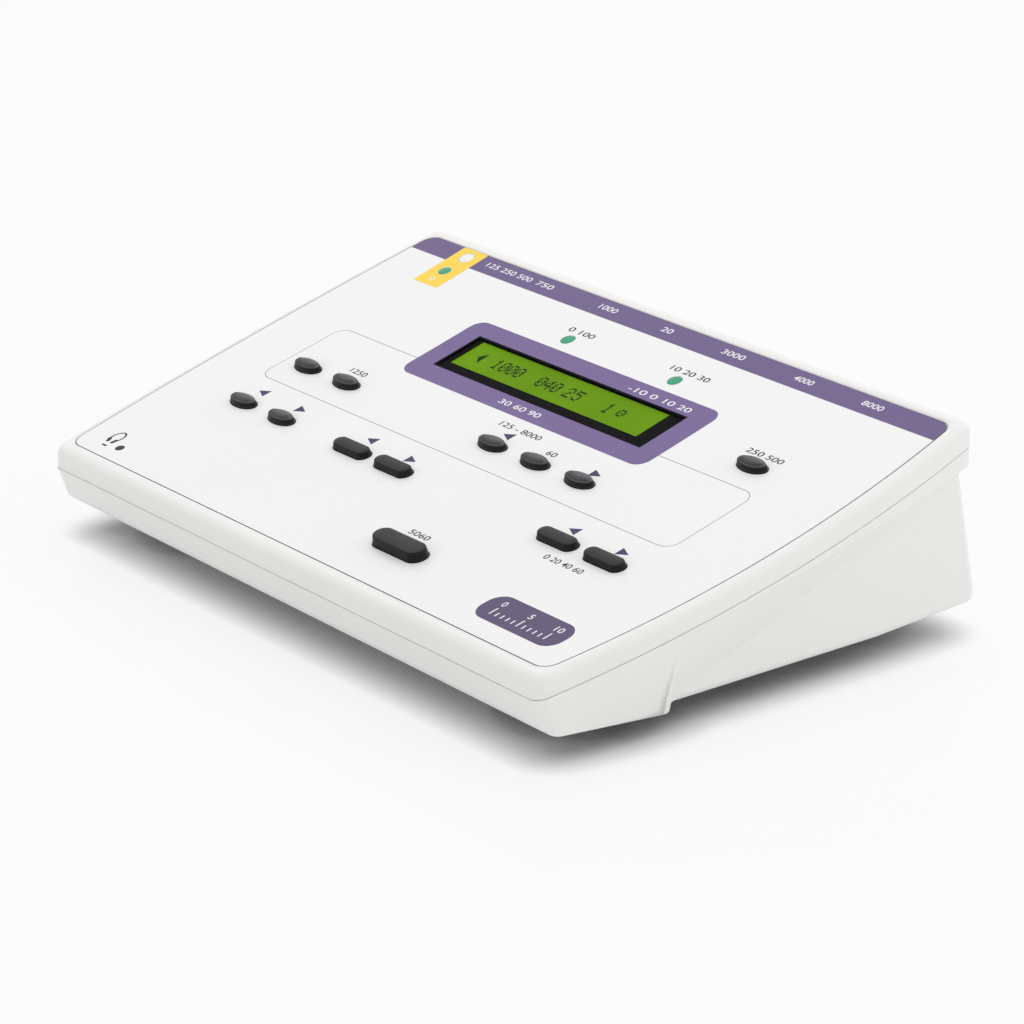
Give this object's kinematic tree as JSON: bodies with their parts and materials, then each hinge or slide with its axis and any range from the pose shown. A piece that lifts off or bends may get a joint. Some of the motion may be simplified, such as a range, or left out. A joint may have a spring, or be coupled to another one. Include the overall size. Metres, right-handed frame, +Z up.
{
  "type": "audiometer",
  "caption": "Desktop screening audiometer with a sloping keypad panel, a small lit character display, sprung keys, indicator lamps, rear earphone jacks and a sliding battery cover.",
  "frame": {"origin": "middle of the case on the table surface, under its four feet", "axes": "+X to the user's right along the case's width, +Y from the user's side towards the sockets at the back, +Z up"},
  "size_m": [0.273, 0.1757, 0.0733],
  "materials": {
    "case_plastic": "fine matt",
    "panel_film": "satin",
    "key_rubber": "satin",
    "window_clear": "clear",
    "display_glass": "clear",
    "display_light": "lit",
    "bezel_metal": "satin black",
    "lamp_green": "translucent",
    "grille_white": "matt",
    "board_green": "lacquered",
    "part_black": "matt",
    "relay_body": "matt",
    "led_body": "clear",
    "bright_metal": "bright",
    "rubber_black": "matt",
    "cell_sleeve": "satin",
    "cable_grey": "matt"
  },
  "bodies": {
    "case": {"battery_cells": "cell_sleeve", "battery_contacts": "bright_metal", "board_screws": "bright_metal", "bottom_case": "case_plastic", "capacitors": "part_black", "case_screws": "bright_metal", "display_connector": "part_black", "display_window": "window_clear", "indicator_leds": "led_body", "jack_nuts": "bright_metal", "lcd_backlight": "display_light", "lcd_bezel": "bezel_metal", "lcd_board": "board_green", "lcd_glass": "display_glass", "lcd_screws": "bright_metal", "left_earphone_jack": "part_black", "main_board": "board_green", "microphone_boot": "rubber_black", "microphone_capsule": "bright_metal", "microphone_grille": "grille_white", "panel_overlay": "panel_film", "power_lamp": "lamp_green", "power_socket": "part_black", "processor": "part_black", "relays": "relay_body", "response_jack": "part_black", "response_lamp": "lamp_green", "ribbon_cable": "cable_grey", "ribbon_plug": "part_black", "right_earphone_jack": "part_black", "rubber_feet": "rubber_black", "signal_chips": "part_black", "socket_board": "board_green", "socket_board_screws": "bright_metal", "tact_switches": "part_black", "talk_lamp": "lamp_green", "top_cover": "case_plastic", "usb_socket": "bright_metal"},
    "left_upper_key": {"left_upper_key": "key_rubber"},
    "tone_key": {"tone_key": "key_rubber"},
    "left_lower_key": {"left_lower_key": "key_rubber"},
    "right_lower_key": {"right_lower_key": "key_rubber"},
    "frequency_down_key": {"frequency_down_key": "key_rubber"},
    "decibel_key": {"decibel_key": "key_rubber"},
    "frequency_up_key": {"frequency_up_key": "key_rubber"},
    "present_key": {"present_key": "key_rubber"},
    "level_down_key": {"level_down_key": "key_rubber"},
    "level_up_key": {"level_up_key": "key_rubber"},
    "intensity_down_key": {"intensity_down_key": "key_rubber"},
    "intensity_up_key": {"intensity_up_key": "key_rubber"},
    "mask_key": {"mask_key": "key_rubber"},
    "battery_cover": {"battery_door": "case_plastic"}
  },
  "joints": [
    {"name": "left_upper_key_press", "type": "slide", "parent": "case", "child": "left_upper_key", "axis": [0, 0.249, -0.9685], "range_m": [0, 0.0008], "stiffness_N_per_m": 400},
    {"name": "tone_key_press", "type": "slide", "parent": "case", "child": "tone_key", "axis": [0, 0.249, -0.9685], "range_m": [0, 0.0008], "stiffness_N_per_m": 400},
    {"name": "left_lower_key_press", "type": "slide", "parent": "case", "child": "left_lower_key", "axis": [0, 0.2316, -0.9728], "range_m": [0, 0.0008], "stiffness_N_per_m": 400},
    {"name": "right_lower_key_press", "type": "slide", "parent": "case", "child": "right_lower_key", "axis": [0, 0.2316, -0.9728], "range_m": [0, 0.0008], "stiffness_N_per_m": 400},
    {"name": "frequency_down_key_press", "type": "slide", "parent": "case", "child": "frequency_down_key", "axis": [0, 0.249, -0.9685], "range_m": [0, 0.0008], "stiffness_N_per_m": 400},
    {"name": "decibel_key_press", "type": "slide", "parent": "case", "child": "decibel_key", "axis": [0, 0.249, -0.9685], "range_m": [0, 0.0008], "stiffness_N_per_m": 400},
    {"name": "frequency_up_key_press", "type": "slide", "parent": "case", "child": "frequency_up_key", "axis": [0, 0.249, -0.9685], "range_m": [0, 0.0008], "stiffness_N_per_m": 400},
    {"name": "present_key_press", "type": "slide", "parent": "case", "child": "present_key", "axis": [0, 0.2712, -0.9625], "range_m": [0, 0.0008], "stiffness_N_per_m": 400},
    {"name": "level_down_key_press", "type": "slide", "parent": "case", "child": "level_down_key", "axis": [0, 0.2316, -0.9728], "range_m": [0, 0.0008], "stiffness_N_per_m": 400},
    {"name": "level_up_key_press", "type": "slide", "parent": "case", "child": "level_up_key", "axis": [0, 0.2316, -0.9728], "range_m": [0, 0.0008], "stiffness_N_per_m": 400},
    {"name": "intensity_down_key_press", "type": "slide", "parent": "case", "child": "intensity_down_key", "axis": [0, 0.2316, -0.9728], "range_m": [0, 0.0008], "stiffness_N_per_m": 400},
    {"name": "intensity_up_key_press", "type": "slide", "parent": "case", "child": "intensity_up_key", "axis": [0, 0.2316, -0.9728], "range_m": [0, 0.0008], "stiffness_N_per_m": 400},
    {"name": "mask_key_press", "type": "slide", "parent": "case", "child": "mask_key", "axis": [0, 0.2119, -0.9773], "range_m": [0, 0.0008], "stiffness_N_per_m": 400},
    {"name": "battery_door_slide", "type": "slide", "parent": "case", "child": "battery_cover", "axis": [0, 1, 0], "range_m": [0, 0.06]}
  ]
}
